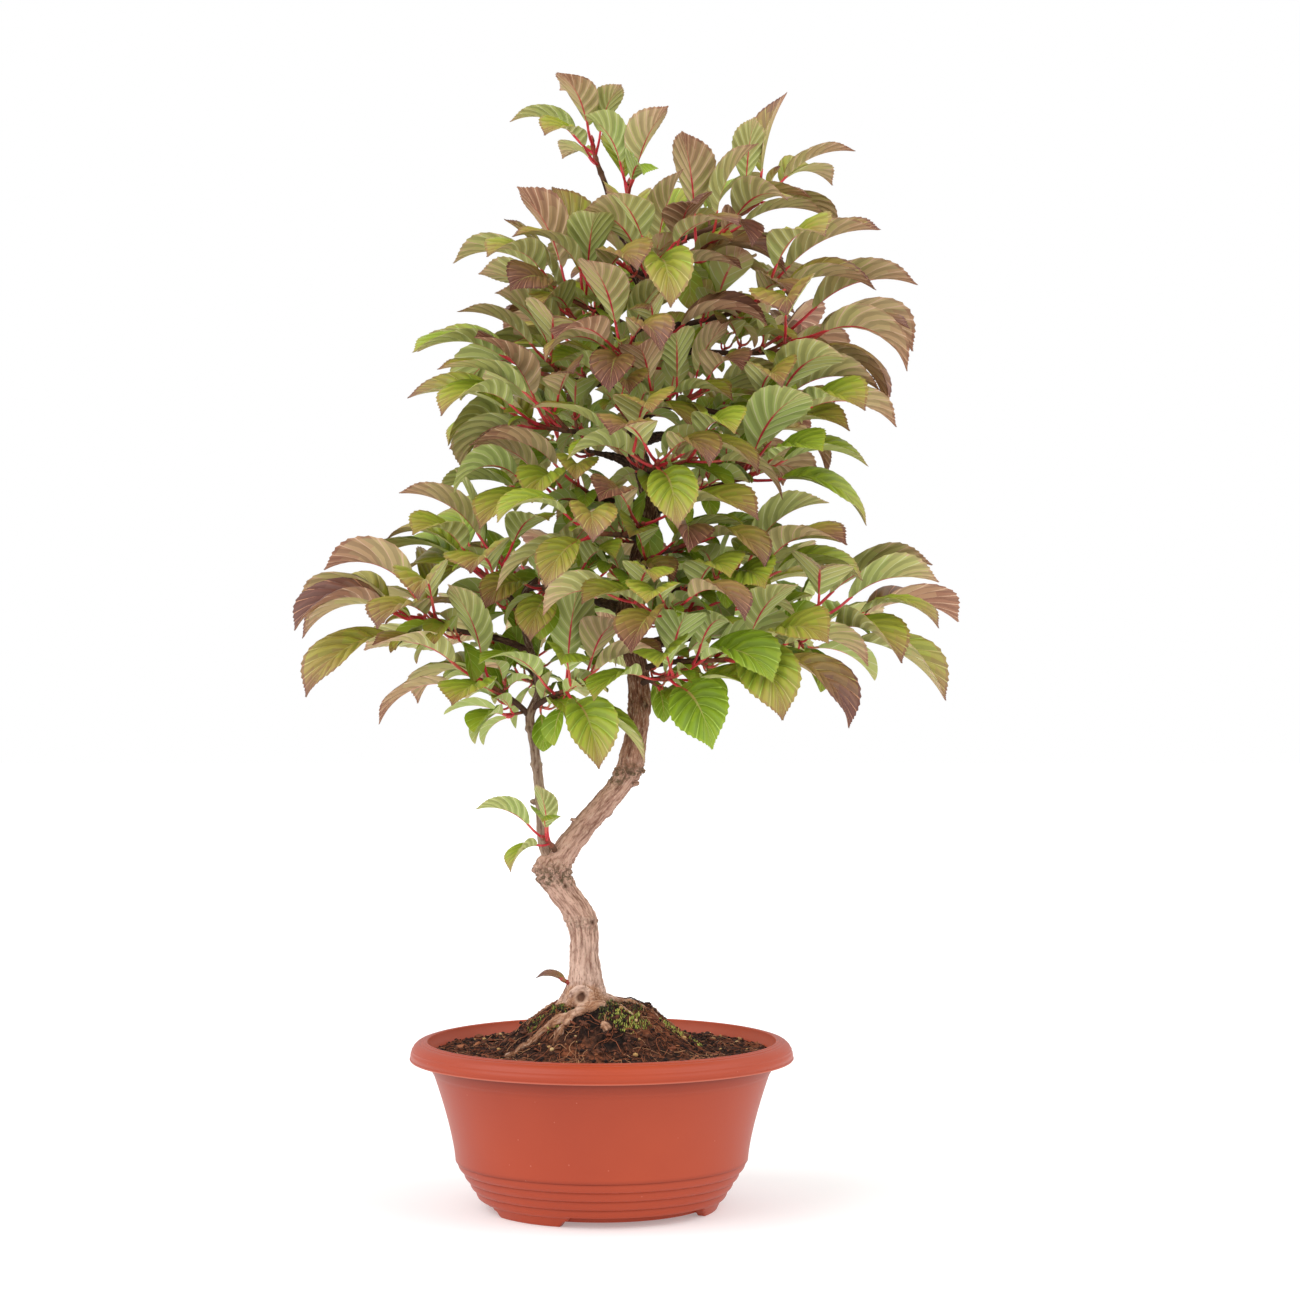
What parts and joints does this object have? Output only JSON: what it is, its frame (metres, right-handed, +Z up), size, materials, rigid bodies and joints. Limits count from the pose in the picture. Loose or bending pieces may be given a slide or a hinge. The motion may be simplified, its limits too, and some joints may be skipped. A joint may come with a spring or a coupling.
{
  "type": "potted viburnum bonsai",
  "caption": "Small viburnum tree grown as a bonsai, with a curving trunk, a thin side stem and a full crown of pointed ribbed leaves, in a round clay-coloured training bowl.",
  "frame": {"origin": "on the bowl's vertical axis, at the level of the floor that the bowl's feet stand on; the recessed flat underside lies 2 mm above it", "axes": "+Z up along the tree's height, +X to the viewer's right in the picture, -Y towards the viewer"},
  "size_m": [0.352, 0.2722, 0.5901],
  "materials": {
    "clay_plastic": "satin moulded plastic, terracotta coloured",
    "potting_soil": "rough bark-based potting soil",
    "bark": "fibrous tan-brown bark",
    "twig_bark": "dark brown bark",
    "leaf": "soft matte leaf, green to olive with bronze tips"
  },
  "bodies": {
    "root": {"pot": "clay_plastic", "soil": "potting_soil", "trunk": "bark", "left_stem": "bark", "bough_back_low_left": "twig_bark", "bough_back_low_right": "twig_bark", "bough_back_mid": "twig_bark", "bough_back_mid_left": "twig_bark", "bough_back_mid_right": "twig_bark", "bough_left_low": "twig_bark", "bough_left_mid": "twig_bark", "bough_left_upper_mid": "twig_bark", "bough_right_low": "twig_bark", "bough_right_lowest": "twig_bark", "bough_right_mid": "twig_bark", "bough_right_mid_low": "twig_bark", "bough_right_upper_mid": "twig_bark", "bough_upper_right": "twig_bark", "foliage_apex_front": "leaf", "foliage_apex_left": "leaf", "foliage_apex_right": "leaf", "foliage_back_low_left": "leaf", "foliage_back_low_right": "leaf", "foliage_back_mid": "leaf", "foliage_back_mid_left": "leaf", "foliage_back_mid_right": "leaf", "foliage_back_upper_left": "leaf", "foliage_back_upper_right": "leaf", "foliage_base_shoot": "leaf", "foliage_fork_shoot": "leaf", "foliage_front_bottom": "leaf", "foliage_front_inner_low": "leaf", "foliage_front_inner_mid": "leaf", "foliage_front_left": "leaf", "foliage_front_low": "leaf", "foliage_front_mid": "leaf", "foliage_front_upper": "leaf", "foliage_left_low": "leaf", "foliage_left_mid": "leaf", "foliage_left_mid_low": "leaf", "foliage_left_top": "leaf", "foliage_left_upper_mid": "leaf", "foliage_right_bottom": "leaf", "foliage_right_inner_low": "leaf", "foliage_right_inner_mid": "leaf", "foliage_right_low": "leaf", "foliage_right_lowest": "leaf", "foliage_right_mid": "leaf", "foliage_right_mid_low": "leaf", "foliage_right_upper_mid": "leaf", "foliage_stem_back": "leaf", "foliage_stem_low_left": "leaf", "foliage_stem_low_right": "leaf", "foliage_stem_mid": "leaf", "foliage_stem_top": "leaf", "foliage_top_back": "leaf", "foliage_top_front": "leaf", "foliage_top_right": "leaf", "foliage_upper_left": "leaf", "foliage_upper_right": "leaf"}
  },
  "joints": []
}
